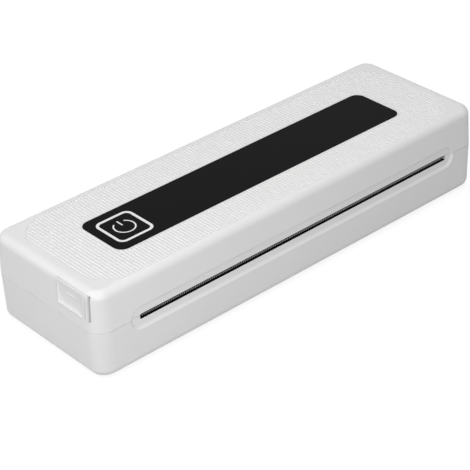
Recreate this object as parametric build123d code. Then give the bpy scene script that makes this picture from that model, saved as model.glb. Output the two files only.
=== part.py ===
from build123d import *
import math
import os

# Case, in millimetres. X is the length, +Y the rear, +Z up; the paper slot faces -Y.
case_length = 268.0
case_width = 86.0
base_height = 27.0
cover_height = 22.7
foot_proud = 0.8
corner_radius = 9.0
cover_draft_angle = 2.3
base_draft_angle = 1.2
top_edge_radius = 4.7
bottom_edge_radius = 4.8
wall = 2.2
top_wall = 2.4
seam_gap = 0.15
seam_chamfer = 0.1
rim_width = 3.8
rim_depth = 3.0
tongue_height = 1.5
tongue_clearance = 0.35
tongue_rear_room = 4.0
part_gap = 0.3
slip = 0.05

# Rear hinge
knuckle_radius = 3.0
knuckle_proud = 2.0
knuckle_spacing = 160.0
cover_knuckle_length = 16.0
base_knuckle_length = 7.0
knuckle_web_height = 6.0
knuckle_web_depth = 3.4
hinge_pin_radius = 1.25
rear_groove = 1.6

# Paper slot, recess around it and tear bar
slot_beyond_platen = 0.75
slot_shift = 1.65
slot_above_seam = 0.5
slot_below_seam = 2.5
slot_end_radius = 0.8
recess_length = 229.4
recess_height = 13.7
recess_depth = 1.2
recess_slope = 1.5
recess_shift = 1.15
recess_below_seam = 0.85
guide_edge = 0.4
guide_thickness = 1.0
guide_leg = 3.4
guide_reach = 6.6
lip_thickness = 0.6
lip_backing = 4.0
lip_height = 7.0
tear_bar_thickness = 0.5
tear_bar_height = 6.0
tear_bar_drop = 1.2
tear_tooth_pitch = 0.95
tear_tooth_depth = 0.55

# Ribbed field and black panel on the top
feature_shift = -2.3
rib_field_from_end = 7.9
rib_field_from_side = 5.6
rib_field_radius = 20.5
rib_field_shift = -1.2
rib_pitch = 1.96
rib_groove_width = 1.15
rib_groove_floor = 0.45
rib_groove_depth = 0.35
rib_border = 0.9
panel_shift = -0.4
panel_from_end = 35.15
panel_width = 34.35
panel_radius = 5.5
panel_thickness = 1.2
panel_proud = 0.1
panel_clearance = 0.12

# Power key
key_from_panel_end = 16.25
key_frame_length = 22.4
key_frame_width = 23.6
key_frame_radius = 4.2
key_frame_line = 1.6
key_clearance = 0.2
key_cap_height = 1.5
key_travel = 0.6
key_flange_margin = 1.3
key_flange_thickness = 1.0
key_stem_radius = 2.5
symbol_radius = 5.65
symbol_line = 0.8
symbol_opening = 66.0
symbol_bar_length = 4.8
symbol_inlay = 0.3
key_board_length = 30.0
key_board_width = 30.0
key_board_thickness = 1.0
switch_size = 6.0
switch_height = 1.4
plunger_radius = 1.6
plunger_reach = 0.6
key_post_radius = 2.0
key_post_inset = 3.0

# Release slider, latch bar and hooks
window_front = 5.7
window_length = 25.8
window_bottom = 5.9
window_top_wall = 2.2
slider_travel = 1.5
slider_clearance = 0.15
thumb_pocket_top_depth = 0.15
thumb_pocket_bead_depth = 1.05
thumb_pocket_low_depth = 1.3
thumb_pocket_rear = 0.5
thumb_pocket_front = 3.8
thumb_pocket_bottom = 0.35
thumb_pocket_top = 1.0
thumb_ledge_rise = 0.5
thumb_groove_width = 0.9
thumb_groove_depth = 0.6
thumb_groove_inset = 1.5
grip_bead_radius = 0.35
grip_bead_above_seam = 14.3
grip_bead_length = 8.6
slider_flange_thickness = 1.6
slider_flange_overlap = 2.0
latch_bar_height = 1.2
latch_bar_width = 5.6
latch_bar_front = 6.8
hook_from_end = 10.0
hook_thickness = 2.0
hook_shank_depth = 2.5
hook_tooth_reach = 1.8
hook_tooth_height = 1.8
striker_radius = 1.0
striker_drop = 4.2
striker_gap = 0.4
striker_length = 9.0
striker_boss_radius = 3.0

# Platen roller and print head
platen_radius = 6.5
platen_core_radius = 3.0
platen_from_end = 26.0
platen_from_front = 14.0
platen_journal_radius = 1.5
nip_below_seam = 0.8
nip_gap = 0.3
bearing_radius = 3.5
bearing_length = 3.0
bracket_thickness = 2.8
bracket_inset = 1.6
bracket_margin = 2.6
bracket_below_bearing = 1.2
head_beyond_platen = 2.8
head_depth = 18.0
head_front = 7.5
heat_sink_height = 4.75
heat_sink_chamfer = 0.4
ceramic_depth = 11.0
ceramic_thickness = 1.0
ceramic_front_inset = 1.0
ceramic_end_inset = 2.0
driver_cover_depth = 4.2
driver_cover_height = 2.0
driver_cover_end_inset = 8.0
driver_cover_chamfer = 0.6
glaze_radius = 0.6
glaze_proud = 0.08
head_pivot_radius = 1.25
head_pivot_from_rear = 2.0
head_pivot_below_sink_top = 3.2
head_pivot_reach = 4.8
head_spring_radius = 2.2
head_spring_wire = 0.5
head_spring_turns = 4
head_spring_count = 4
head_spring_from_end = 17.8
head_spring_from_front = 5.5

# Print frame
frame_sheet = 1.2
frame_spring_room = 4.0
frame_ear_gap = 0.8
frame_front = 6.0
frame_floor_depth = 15.0
frame_lip_height = 4.0
ear_top_below_seam = 1.2
ear_behind_pivot = 3.0
ear_foot_run = 4.3
frame_post_from_ear = 6.1
frame_post_from_front = 3.5

# Gear train
gear_module = 0.6
pressure_angle = 20.0
tooth_backlash = 0.10
platen_teeth = 20
idler_teeth = 25
pinion_teeth = 12
reduction_teeth = 24
gear_width = 3.2
gear_plane_gap = 0.4
idler_direction = -70.0
reduction_direction = -60.0
motor_direction = 8.0
stud_radius = 1.25
gear_hub_radius = 2.3
motor_radius = 9.0
motor_length = 26.8
motor_boss_radius = 3.0
motor_boss_height = 1.0
motor_shaft_radius = 1.0
motor_screw_circle = 7.0
motor_rear_radius = 1.0

# Roll bin tray
bin_behind_head = 17.9
bin_from_rear = 5.4
bin_beyond_platen = 1.4
tray_wall = 1.6
deck_below_seam = 2.2
tray_end_margin = 6.4
tray_rear_margin = 4.6
shelf_behind_head = 1.3
gear_opening_from_rear = 32.5
roll_well_gap = 0.4
tray_post_radius = 3.0
tray_post_from_end = 14.0
tray_post_from_rear = (8.6, 30.0)
liner_above_platen = 2.2
liner_post_from_end = 16.0
liner_post_from_front = 33.0
liner_post_from_rear = 11.0

# Battery, boards and socket
battery_length = 90.0
battery_width = 31.0
battery_below_frame = 1.15
battery_from_middle = 8.0
battery_behind_post = 0.3
battery_edge_radius = 2.5
board_before_motor = 4.8
board_width = 30.0
board_left = 8.0
board_height = 5.0
charge_board_length = 17.5
charge_board_width = 14.0
socket_width = 8.94
socket_height = 3.26
socket_depth = 7.4
socket_inset = 0.6
socket_sheet = 0.3
socket_back = 1.2
socket_tongue_width = 6.4
socket_tongue_thickness = 0.7
socket_tongue_inset = 1.0
socket_opening_margin = 0.35
board_thickness = 1.2
standoff_radius = 2.2
chip_heights = (1.2, 1.0, 2.2)
chip_side = 9.0
chip_shrink = 2.0
chip_start = 0.25
chip_step = 0.22

# Screws and feet
screw_head_radius = 2.2
screw_head_height = 1.4
screw_shank_radius = 1.2
screw_length = 6.0
small_screw_head_radius = 1.7
small_screw_head_height = 1.0
small_screw_shank_radius = 0.8
small_screw_length = 4.0
foot_radius = 5.0
foot_inset = 14.0
foot_pocket_depth = 1.0
post_radius = 3.0

# Heights and faces that follow
underside_z = foot_proud
floor_z = underside_z + wall
seam_z = underside_z + base_height
top_z = seam_z + cover_height
ceiling_z = top_z - top_wall
platen_length = case_length - 2 * platen_from_end
head_length = platen_length + 2 * head_beyond_platen
slot_length = platen_length + 2 * slot_beyond_platen
rib_field_length = case_length - 2 * rib_field_from_end
rib_field_width = case_width - 2 * rib_field_from_side
panel_length = case_length - 2 * panel_from_end
guide_top = seam_z - slot_below_seam
front_y = -(case_width + knuckle_proud) / 2
rear_y = front_y + case_width
case_y = (front_y + rear_y) / 2
half_length = case_length / 2
hinge_y = rear_y - (knuckle_radius - knuckle_proud)
hinge_z = seam_z
feature_y = case_y + feature_shift
lip_x0 = recess_shift - recess_length / 2
lip_x1 = recess_shift + recess_length / 2
guide_x0 = slot_shift - slot_length / 2
guide_x1 = slot_shift + slot_length / 2
guide_y0 = front_y + recess_depth + guide_edge
cover_draft = math.tan(math.radians(cover_draft_angle))
base_draft = math.tan(math.radians(base_draft_angle))


# Plain shapes between two corners, and rods along each axis
def block(x0, x1, y0, y1, z0, z1):
    return Pos((x0 + x1) / 2, (y0 + y1) / 2, (z0 + z1) / 2) * Box(x1 - x0, y1 - y0, z1 - z0)


def rod_x(radius, x0, x1, y, z):
    return Pos((x0 + x1) / 2, y, z) * Rot(0, 90, 0) * Cylinder(radius, x1 - x0)


def rod_y(radius, x, y0, y1, z):
    return Pos(x, (y0 + y1) / 2, z) * Rot(90, 0, 0) * Cylinder(radius, y1 - y0)


def rod_z(radius, x, y, z0, z1):
    return Pos(x, y, (z0 + z1) / 2) * Cylinder(radius, z1 - z0)


def rounded_plate(length, width, radius, x, y, z0, z1):
    plan = Plane(origin=(x, y, z0)) * RectangleRounded(length, width, radius)
    return extrude(plan, amount=z1 - z0)


def yz_profile(points, x0, x1):
    plane = Plane(origin=(x0, 0, 0), x_dir=(0, 1, 0), z_dir=(1, 0, 0))
    return extrude(plane * make_face(Polyline(*points, close=True)), amount=x1 - x0)


def mirrored(shape):
    return mirror(shape, about=Plane.YZ)


def joined(shapes):
    shapes = list(shapes)
    return shapes[0].fuse(*shapes[1:]) if len(shapes) > 1 else shapes[0]


# The case's outline is widest at the seam and drafted away from it, up or down
def case_block(inset, start_gap, end_z, end_radius, start_chamfer=0.0):
    side = 1 if end_z > seam_z else -1
    angle = cover_draft_angle if side > 0 else base_draft_angle
    shrink = inset + start_gap * math.tan(math.radians(angle))
    plan = RectangleRounded(case_length - 2 * shrink, case_width - 2 * shrink, corner_radius - shrink)
    plane = Plane(origin=(0, case_y, seam_z + side * start_gap), z_dir=(0, 0, side))
    body = extrude(plane * plan, amount=abs(end_z - seam_z) - start_gap, taper=angle)
    body = fillet(body.edges().group_by(Axis.Z)[-1 if side > 0 else 0], end_radius)
    if start_chamfer:
        body = chamfer(body.edges().group_by(Axis.Z)[0 if side > 0 else -1], start_chamfer)
    return body


def cover_outside():
    return case_block(0, seam_gap / 2, top_z, top_edge_radius, seam_chamfer)


def base_outside():
    return case_block(0, seam_gap / 2, underside_z, bottom_edge_radius, seam_chamfer)


# Slot and stadium recess, cut through both halves at the seam
def slot_cutter():
    low = seam_z - slot_below_seam
    high = seam_z + slot_above_seam
    plane = Plane(origin=(slot_shift, front_y - wall, (low + high) / 2), x_dir=(1, 0, 0), z_dir=(0, 1, 0))
    face = RectangleRounded(slot_length, high - low, slot_end_radius)
    return extrude(plane * face, amount=wall + lip_backing + wall)


def recess_cutter():
    spread = 2 * recess_slope
    over = 2 * part_gap
    grow = spread * over / recess_depth
    faces = []
    recess_z = seam_z - recess_below_seam
    for y, change in ((front_y + recess_depth, -spread), (front_y - over, grow)):
        plane = Plane(origin=(recess_shift, y, recess_z), x_dir=(1, 0, 0), z_dir=(0, -1, 0))
        faces.append(plane * SlotOverall(recess_length + change, recess_height + change))
    return loft(faces)


# Hinge knuckles: a barrel with a web up or down its own wall, and the room cut for the other half's
hinge_centres = (-knuckle_spacing / 2, knuckle_spacing / 2)
cover_knuckle_half = cover_knuckle_length / 2
base_knuckle_start = cover_knuckle_half + part_gap
base_knuckle_end = base_knuckle_start + base_knuckle_length


def knuckle(x0, x1, side):
    barrel = rod_x(knuckle_radius, x0, x1, hinge_y, hinge_z)
    heights = sorted((hinge_z, hinge_z + side * knuckle_web_height))
    web = block(x0, x1, rear_y - knuckle_web_depth, rear_y - wall / 2, *heights)
    return barrel + web


def knuckle_room(x0, x1):
    return rod_x(knuckle_radius + part_gap, x0 - part_gap, x1 + part_gap, hinge_y, hinge_z)


def base_knuckle_spans():
    spans = []
    for x in hinge_centres:
        spans.append((x - base_knuckle_end, x - base_knuckle_start))
        spans.append((x + base_knuckle_start, x + base_knuckle_end))
    return spans


def cover_knuckle_spans():
    return [(x - cover_knuckle_half, x + cover_knuckle_half) for x in hinge_centres]


def hinge_bore():
    return rod_x(hinge_pin_radius + slip, -half_length, half_length, hinge_y, hinge_z)


def rear_relief():
    tip = rear_y - rear_groove
    edge = rear_groove + part_gap
    points = [(tip, seam_z), (rear_y + part_gap, seam_z + edge), (rear_y + part_gap, seam_z - edge)]
    return yz_profile(points, -half_length, half_length)


def make_hinge_pins():
    reach = base_knuckle_end - part_gap
    pins = [rod_x(hinge_pin_radius, x - reach, x + reach, hinge_y, hinge_z) for x in hinge_centres]
    return Compound(pins)


# Screws: a pan head with a cross recess on a plain shank, its seat at the head's underside
def screw(x, y, seat_z, up, small=False):
    head_radius = small_screw_head_radius if small else screw_head_radius
    head_height = small_screw_head_height if small else screw_head_height
    shank_radius = small_screw_shank_radius if small else screw_shank_radius
    length = small_screw_length if small else screw_length
    side = 1 if up else -1
    head = rod_z(head_radius, x, y, *sorted((seat_z, seat_z + side * head_height)))
    head = fillet(head.edges().group_by(Axis.Z)[-1 if up else 0], head_height * 0.4)
    cross_depth = head_height * 0.5
    outer = seat_z + side * head_height
    for size in ((head_radius * 1.2, head_radius * 0.25), (head_radius * 0.25, head_radius * 1.2)):
        cut_z = sorted((outer - side * cross_depth, outer + side))
        head -= block(x - size[0] / 2, x + size[0] / 2, y - size[1] / 2, y + size[1] / 2, *cut_z)
    return head + rod_z(shank_radius, x, y, *sorted((seat_z, seat_z - side * length)))


def screw_hole(x, y, seat_z, up, depth, small=False):
    radius = small_screw_shank_radius if small else screw_shank_radius
    side = 1 if up else -1
    return rod_z(radius, x, y, *sorted((seat_z + side * part_gap, seat_z - side * depth)))


# Platen, nip and head heights
platen_y = front_y + platen_from_front
nip_z = seam_z - nip_below_seam
platen_z = nip_z + platen_radius
ceramic_top = nip_z - nip_gap
sink_top = ceramic_top - ceramic_thickness
sink_bottom = sink_top - heat_sink_height
head_y0 = front_y + head_front
head_y1 = head_y0 + head_depth
head_half = head_length / 2
pivot_y = head_y1 - head_pivot_from_rear
pivot_z = sink_top - head_pivot_below_sink_top

# Print frame levels
frame_top = sink_bottom - frame_spring_room
frame_bottom = frame_top - frame_sheet
ear_inside = head_half + frame_ear_gap
ear_outside = ear_inside + frame_sheet
ear_top = seam_z - ear_top_below_seam
frame_y0 = front_y + frame_front
frame_y1 = frame_y0 + frame_floor_depth


# Gear centres in the YZ plane, each placed from the one before by its direction
def pitch_radius(teeth):
    return gear_module * teeth / 2


def next_centre(centre, direction, teeth_a, teeth_b):
    reach = pitch_radius(teeth_a) + pitch_radius(teeth_b)
    turn = math.radians(direction)
    return (centre[0] + reach * math.cos(turn), centre[1] + reach * math.sin(turn))


platen_centre = (platen_y, platen_z)
idler_centre = next_centre(platen_centre, idler_direction, platen_teeth, idler_teeth)
reduction_centre = next_centre(idler_centre, reduction_direction, idler_teeth, pinion_teeth)
motor_centre = next_centre(reduction_centre, motor_direction, reduction_teeth, pinion_teeth)


# The turn that puts gear B's gap on gear A's tooth, for gears in mesh
def mesh_angle(teeth_a, angle_a, direction, teeth_b):
    phase = (direction - angle_a) * teeth_a / 360
    return direction + 180 - (0.5 - phase) * 360 / teeth_b


platen_turn = 0.0
idler_turn = mesh_angle(platen_teeth, platen_turn, idler_direction, idler_teeth)
small_turn = mesh_angle(idler_teeth, idler_turn, reduction_direction, pinion_teeth)
large_turn = small_turn
motor_turn = mesh_angle(reduction_teeth, large_turn, motor_direction, pinion_teeth)

motor_plane_x0 = ear_outside + 2 * gear_plane_gap
motor_plane_x1 = motor_plane_x0 + gear_width
platen_plane_x0 = motor_plane_x1 + gear_plane_gap
platen_plane_x1 = platen_plane_x0 + gear_width


# Involute spur gear with stub teeth, its first tooth at the given turn in the YZ plane
def gear(teeth, turn, centre, x0, x1, bore):
    pitch = pitch_radius(teeth)
    tip = pitch + 0.8 * gear_module
    root = pitch - 1.2 * gear_module
    base = pitch * math.cos(math.radians(pressure_angle))

    def involute(radius):
        angle = math.acos(min(1.0, base / radius))
        return math.tan(angle) - angle

    half = math.pi / (2 * teeth) - tooth_backlash / (2 * pitch)
    start = max(base, root)
    radii = [start + (tip - start) * i / 3 for i in range(4)]
    flank = [(radius, half + involute(pitch) - involute(radius)) for radius in radii]
    flank.insert(0, (root, flank[0][1]))
    points = []
    for tooth in range(teeth):
        middle = math.radians(turn) + 2 * math.pi * tooth / teeth
        for radius, angle in flank:
            points.append((radius * math.cos(middle - angle), radius * math.sin(middle - angle)))
        for radius, angle in reversed(flank):
            points.append((radius * math.cos(middle + angle), radius * math.sin(middle + angle)))
    plane = Plane(origin=(x0, centre[0], centre[1]), x_dir=(0, 1, 0), z_dir=(1, 0, 0))
    wheel = extrude(plane * make_face(Polyline(*points, close=True)), amount=x1 - x0)
    return wheel - rod_x(bore, x0 - 1, x1 + 1, *centre)


# Base housing
striker_z = seam_z - striker_drop
hook_x = half_length - hook_from_end
hook_front = front_y + latch_bar_front
striker_y = hook_front + hook_shank_depth + hook_tooth_reach / 2 + 2 * part_gap
striker_x0 = hook_x - striker_length / 2 + hook_thickness
striker_x1 = striker_x0 + striker_length
striker_boss_x0 = hook_x + hook_thickness / 2 + 2 * part_gap
frame_post_x = ear_inside - frame_post_from_ear
frame_post_y = frame_y0 + frame_post_from_front
frame_posts = [(x, frame_post_y) for x in (-frame_post_x, 0, frame_post_x)]
main_board_y0 = frame_y0 + part_gap
main_board_z = floor_z + board_height
board_x1 = ear_inside - motor_length - board_before_motor
board_length = board_x1 - board_left
board_standoffs = [
    (x, y)
    for x in (board_left + standoff_radius + 1, board_x1 - standoff_radius - 1)
    for y in (main_board_y0 + standoff_radius + 1, main_board_y0 + board_width - standoff_radius - 1)
]
charge_x1 = half_length - rim_width - 2 * part_gap
charge_x0 = charge_x1 - charge_board_length
charge_y0 = rear_y - tray_post_from_rear[1] + tray_post_radius + 2 * part_gap
charge_y = charge_y0 + charge_board_width / 2
charge_standoffs = [
    (charge_x0 + standoff_radius + 0.5, y)
    for y in (charge_y0 + standoff_radius + 0.5, charge_y0 + charge_board_width - standoff_radius - 0.5)
]
socket_z = main_board_z + board_thickness + socket_height / 2
roll_radius = (rear_y - bin_from_rear - head_y1 - bin_behind_head) / 2 - tray_wall
roll_y = rear_y - bin_from_rear - tray_wall - roll_radius
roll_z = floor_z + roll_well_gap + tray_wall + roll_radius
bin_half = platen_length / 2 + bin_beyond_platen
deck_top = seam_z - deck_below_seam
deck_bottom = deck_top - tray_wall
tray_posts = [
    (side * (half_length - tray_post_from_end), rear_y - back)
    for side in (-1, 1)
    for back in tray_post_from_rear
]
foot_places = [
    (x, y)
    for x in (-half_length + foot_inset, half_length - foot_inset)
    for y in (front_y + foot_inset, rear_y - foot_inset)
]


def base_tongue():
    outer = wall + tongue_clearance
    ring = rounded_plate(
        case_length - 2 * outer, case_width - 2 * outer, corner_radius - outer,
        0, case_y, seam_z - rim_depth, seam_z + tongue_height)
    ring -= rounded_plate(
        case_length - 2 * rim_width, case_width - 2 * rim_width, corner_radius - rim_width,
        0, case_y, seam_z - rim_depth - 1, seam_z + tongue_height + 1)
    tongue_cut_z = seam_z - seam_gap / 2
    ring -= block(lip_x0, lip_x1, front_y, case_y, tongue_cut_z, top_z)
    rear_room = rear_y - corner_radius - tongue_rear_room
    ring -= block(-half_length, half_length, rear_room, rear_y, tongue_cut_z, top_z)
    return ring


def make_base_housing():
    body = base_outside()
    body -= case_block(wall, 0, floor_z, bottom_edge_radius - wall) - block(
        -half_length, half_length, front_y, rear_y, seam_z - rim_depth, seam_z)
    body -= rounded_plate(
        case_length - 2 * rim_width, case_width - 2 * rim_width, corner_radius - rim_width,
        0, case_y, seam_z - rim_depth - 1, seam_z)
    body += block(
        lip_x0, lip_x1, front_y + wall / 2, front_y + lip_backing,
        seam_z - lip_height, seam_z - seam_gap / 2)
    body += base_tongue()
    body += [knuckle(x0, x1, -1) for x0, x1 in base_knuckle_spans()]
    for x, y in frame_posts:
        body += rod_z(post_radius, x, y, floor_z - wall / 2, frame_bottom)
    for x, y in board_standoffs + charge_standoffs:
        body += rod_z(standoff_radius, x, y, floor_z - wall / 2, main_board_z)
    for x, y in tray_posts:
        body += rod_z(tray_post_radius, x, y, floor_z - wall / 2, deck_bottom)
    for side in (-1, 1):
        boss = rod_x(striker_boss_radius, striker_boss_x0, half_length - wall / 2, striker_y, striker_z)
        pin_room = rod_x(striker_radius, striker_x0, striker_x1, striker_y, striker_z)
        body += boss if side > 0 else mirrored(boss)
        body -= pin_room if side > 0 else mirrored(pin_room)
    body -= recess_cutter()
    body -= slot_cutter()
    body -= block(
        guide_x0, guide_x1, guide_y0, front_y + lip_backing + wall,
        guide_top - guide_thickness, seam_z)
    body -= rear_relief() - joined(knuckle(x0, x1, -1) for x0, x1 in base_knuckle_spans())
    for x0, x1 in cover_knuckle_spans():
        body -= knuckle_room(x0, x1)
    body -= hinge_bore()
    for x, y in foot_places:
        body -= rod_z(foot_radius + slip, x, y, underside_z - 1, underside_z + foot_pocket_depth)
    for x, y in frame_posts:
        body -= screw_hole(x, y, frame_top, True, screw_length)
    for x, y in board_standoffs + charge_standoffs:
        body -= screw_hole(x, y, main_board_z + board_thickness, True, small_screw_length, small=True)
    for x, y in tray_posts:
        body -= screw_hole(x, y, deck_top, True, screw_length)
    socket_plane = Plane(
        origin=(half_length - 2 * wall, charge_y, socket_z), x_dir=(0, 1, 0), z_dir=(1, 0, 0))
    margin = 2 * socket_opening_margin
    socket_face = SlotOverall(socket_width + margin, socket_height + margin)
    body -= extrude(socket_plane * socket_face, amount=3 * wall)
    return body


# Rubber feet, each in its pocket
def make_rubber_feet():
    feet = []
    for x, y in foot_places:
        foot = rod_z(foot_radius, x, y, 0, underside_z + foot_pocket_depth)
        feet.append(chamfer(foot.edges().group_by(Axis.Z)[0], foot_proud / 2))
    return Compound(feet)


# Tray that holds the roll: a trough, its ends, a paper shelf to the head and a deck round them
def make_bin_tray():
    shelf_front = head_y1 + shelf_behind_head
    tray_rear = rear_y - tray_rear_margin
    deck_half = half_length - tray_end_margin
    trough_front = roll_y - roll_radius
    trough_rear = roll_y + roll_radius
    deck = rounded_plate(
        2 * deck_half, tray_rear - shelf_front, corner_radius - rim_width - part_gap,
        0, (tray_rear + shelf_front) / 2, deck_bottom, deck_top)
    deck -= block(
        ear_inside - part_gap, half_length, shelf_front - 1, rear_y - gear_opening_from_rear,
        deck_bottom - 1, deck_top + 1)
    outer_half = bin_half + tray_wall
    body = deck + block(
        -outer_half, outer_half, trough_front - tray_wall, trough_rear + tray_wall,
        min(roll_z, deck_bottom), deck_top)
    body += rod_x(roll_radius + tray_wall, -outer_half, outer_half, roll_y, roll_z)
    body -= rod_x(roll_radius, -bin_half, bin_half, roll_y, roll_z)
    body -= block(-bin_half, bin_half, trough_front, trough_rear, roll_z, top_z)
    above_deck = deck_top + 2 * (roll_radius + tray_wall)
    body -= block(-half_length, half_length, front_y, rear_y, deck_top, above_deck)
    for x, y in tray_posts:
        body -= screw_hole(x, y, deck_top, True, screw_length)
    body -= block(
        sensor_x - sensor_length / 2 - part_gap, sensor_x + sensor_length / 2 + part_gap,
        sensor_y - sensor_width / 2 - part_gap, sensor_y + sensor_width / 2 + part_gap,
        deck_bottom - 1, deck_top + 1)
    return body


def make_tray_screws():
    return Compound([screw(x, y, deck_top, True) for x, y in tray_posts])


# Paper sensor in a window of the shelf, with a flange under it
sensor_x = 24.0
sensor_length = 6.0
sensor_width = 4.4
sensor_flange = 1.5
sensor_y = head_y1 + shelf_behind_head + 6.0


def make_paper_sensor():
    body = block(
        sensor_x - sensor_length / 2, sensor_x + sensor_length / 2,
        sensor_y - sensor_width / 2, sensor_y + sensor_width / 2,
        deck_bottom - sensor_flange, deck_top - part_gap)
    reach_x = sensor_length / 2 + sensor_flange
    reach_y = sensor_width / 2 + sensor_flange
    return body + block(
        sensor_x - reach_x, sensor_x + reach_x, sensor_y - reach_y, sensor_y + reach_y,
        deck_bottom - sensor_flange, deck_bottom)


# Folded steel frame: floor, front lip and two ears; the right ear also carries the motor and gears
def make_print_frame():
    body = block(-ear_outside, ear_outside, frame_y0, frame_y1, frame_bottom, frame_top)
    body += block(
        -ear_outside, ear_outside, frame_y0, frame_y0 + frame_sheet,
        frame_bottom, frame_bottom + frame_lip_height)
    left_rear = pivot_y + ear_behind_pivot
    body += block(-ear_outside, -ear_inside, frame_y0, left_rear, frame_bottom, ear_top)
    motor_rear = motor_centre[0] + motor_radius
    motor_top = motor_centre[1] + motor_radius
    motor_low = max(floor_z + part_gap, motor_centre[1] - motor_radius)
    ear = [
        (frame_y0, frame_bottom), (frame_y0, ear_top), (left_rear, ear_top), (left_rear, motor_top),
        (motor_rear, motor_top), (motor_rear, motor_low), (reduction_centre[0] - ear_foot_run, motor_low)]
    body += yz_profile(ear, ear_inside, ear_outside)
    for side in (-1, 1):
        x0, x1 = sorted((side * (ear_inside - 1), side * (ear_outside + 1)))
        body -= rod_x(head_pivot_radius, x0, x1, pivot_y, pivot_z)
    for centre in (idler_centre, reduction_centre):
        body -= rod_x(stud_radius, ear_inside - 1, ear_outside + 1, *centre)
    body -= rod_x(motor_boss_radius + slip, ear_inside - 1, ear_outside + 1, *motor_centre)
    for z in (-motor_screw_circle, motor_screw_circle):
        body -= rod_x(
            small_screw_shank_radius, ear_inside - 1, ear_outside + 1,
            motor_centre[0], motor_centre[1] + z)
    for x, y in frame_posts:
        body -= screw_hole(x, y, frame_top, True, screw_length)
    return body


def make_frame_screws():
    return Compound([screw(x, y, frame_top, True) for x, y in frame_posts])


def make_striker_pins():
    pin = rod_x(striker_radius, striker_x0, striker_x1, striker_y, striker_z)
    return Compound([pin, mirrored(pin)])


def make_head_pivot_pins():
    x0 = head_half - head_pivot_reach
    pin = rod_x(head_pivot_radius, x0, ear_outside + frame_sheet / 2, pivot_y, pivot_z)
    return Compound([pin, mirrored(pin)])


def make_gear_studs():
    studs = []
    for centre in (idler_centre, reduction_centre):
        cap_x0 = platen_plane_x1 + gear_plane_gap
        stud = rod_x(stud_radius, ear_inside, cap_x0, *centre)
        cap = rod_x(gear_hub_radius, cap_x0, cap_x0 + 2 * gear_plane_gap, *centre)
        studs.append(stud + cap)
    return Compound(studs)


# Drive motor behind the right ear, its boss through the ear
def make_drive_motor():
    body = rod_x(motor_radius, ear_inside - motor_length, ear_inside, *motor_centre)
    body = fillet(body.edges().group_by(Axis.X)[0], motor_rear_radius)
    body += rod_x(motor_boss_radius, ear_inside, ear_inside + motor_boss_height, *motor_centre)
    body -= rod_x(motor_shaft_radius + slip, ear_inside - motor_length / 2, ear_outside, *motor_centre)
    for z in (-motor_screw_circle, motor_screw_circle):
        body -= rod_x(
            small_screw_shank_radius, ear_outside - small_screw_length, ear_outside,
            motor_centre[0], motor_centre[1] + z)
    return body


def make_motor_screws():
    screws = []
    for z in (-motor_screw_circle, motor_screw_circle):
        upright = screw(0, 0, 0, True, small=True)
        place = Pos(ear_outside, motor_centre[0], motor_centre[1] + z)
        screws.append(place * Rot(0, 90, 0) * upright)
    return Compound(screws)


def make_motor_pinion():
    return gear(pinion_teeth, motor_turn, motor_centre, motor_plane_x0, motor_plane_x1, motor_shaft_radius)


def make_motor_shaft():
    x0 = ear_inside - motor_length / 2 + 1
    return rod_x(motor_shaft_radius, x0, motor_plane_x1 + part_gap, *motor_centre)


# Reduction gear: large wheel in the motor's plane, small wheel in the platen's, joined by a hub
def make_reduction_gear():
    bore = stud_radius + slip
    large = gear(reduction_teeth, large_turn, reduction_centre, motor_plane_x0, motor_plane_x1, bore)
    small = gear(pinion_teeth, small_turn, reduction_centre, platen_plane_x0, platen_plane_x1, bore)
    hub = rod_x(gear_hub_radius, motor_plane_x0 - gear_plane_gap, platen_plane_x0, *reduction_centre)
    hub -= rod_x(bore, ear_outside, platen_plane_x1, *reduction_centre)
    return large + hub + small


def make_idler_gear():
    bore = stud_radius + slip
    wheel = gear(idler_teeth, idler_turn, idler_centre, platen_plane_x0, platen_plane_x1, bore)
    hub = rod_x(gear_hub_radius, motor_plane_x0 - gear_plane_gap, platen_plane_x0, *idler_centre)
    hub -= rod_x(bore, ear_outside, platen_plane_x1, *idler_centre)
    return wheel + hub


# Platen roller: rubber sleeve, stepped shaft, gear and two bearings
bracket_x0 = platen_length / 2 + bracket_inset
bracket_x1 = bracket_x0 + bracket_thickness
bearing_x0 = bracket_x0 - slip
bearing_x1 = bearing_x0 + bearing_length
platen_edge = 0.3
platen_core_reach = 0.4
journal_reach = 0.6
bearing_flange_rise = 0.8
bearing_flange_width = 0.7


def make_platen_sleeve():
    half = platen_length / 2
    sleeve = rod_x(platen_radius, -half, half, *platen_centre)
    ends = sleeve.edges().group_by(Axis.X)
    sleeve = chamfer(ends[0] + ends[-1], platen_edge)
    return sleeve - rod_x(platen_core_radius, -half - 1, half + 1, *platen_centre)


def make_platen_shaft():
    half = platen_length / 2 + platen_core_reach
    shaft = rod_x(platen_core_radius, -half, half, *platen_centre)
    return shaft + rod_x(
        platen_journal_radius, -bearing_x1 - journal_reach, platen_plane_x1 + journal_reach, *platen_centre)


def make_platen_gear():
    bore = platen_journal_radius
    return gear(platen_teeth, platen_turn, platen_centre, platen_plane_x0, platen_plane_x1, bore)


def make_platen_bearings():
    ring = rod_x(bearing_radius, bearing_x0, bearing_x1, *platen_centre)
    flange = rod_x(
        bearing_radius + bearing_flange_rise, bearing_x0 - bearing_flange_width, bearing_x0, *platen_centre)
    bearing = ring + flange
    bearing -= rod_x(platen_journal_radius + slip, bearing_x0 - 2, bearing_x1 + 1, *platen_centre)
    return Compound([bearing, mirrored(bearing)])


# Print head: heat sink, ceramic strip with its raised glaze line, and the cover over its drivers
def head_pivot_holes():
    x0 = head_half - head_pivot_reach - part_gap
    hole = rod_x(head_pivot_radius + slip, x0, head_half + 1, pivot_y, pivot_z)
    return hole + mirrored(hole)


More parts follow.
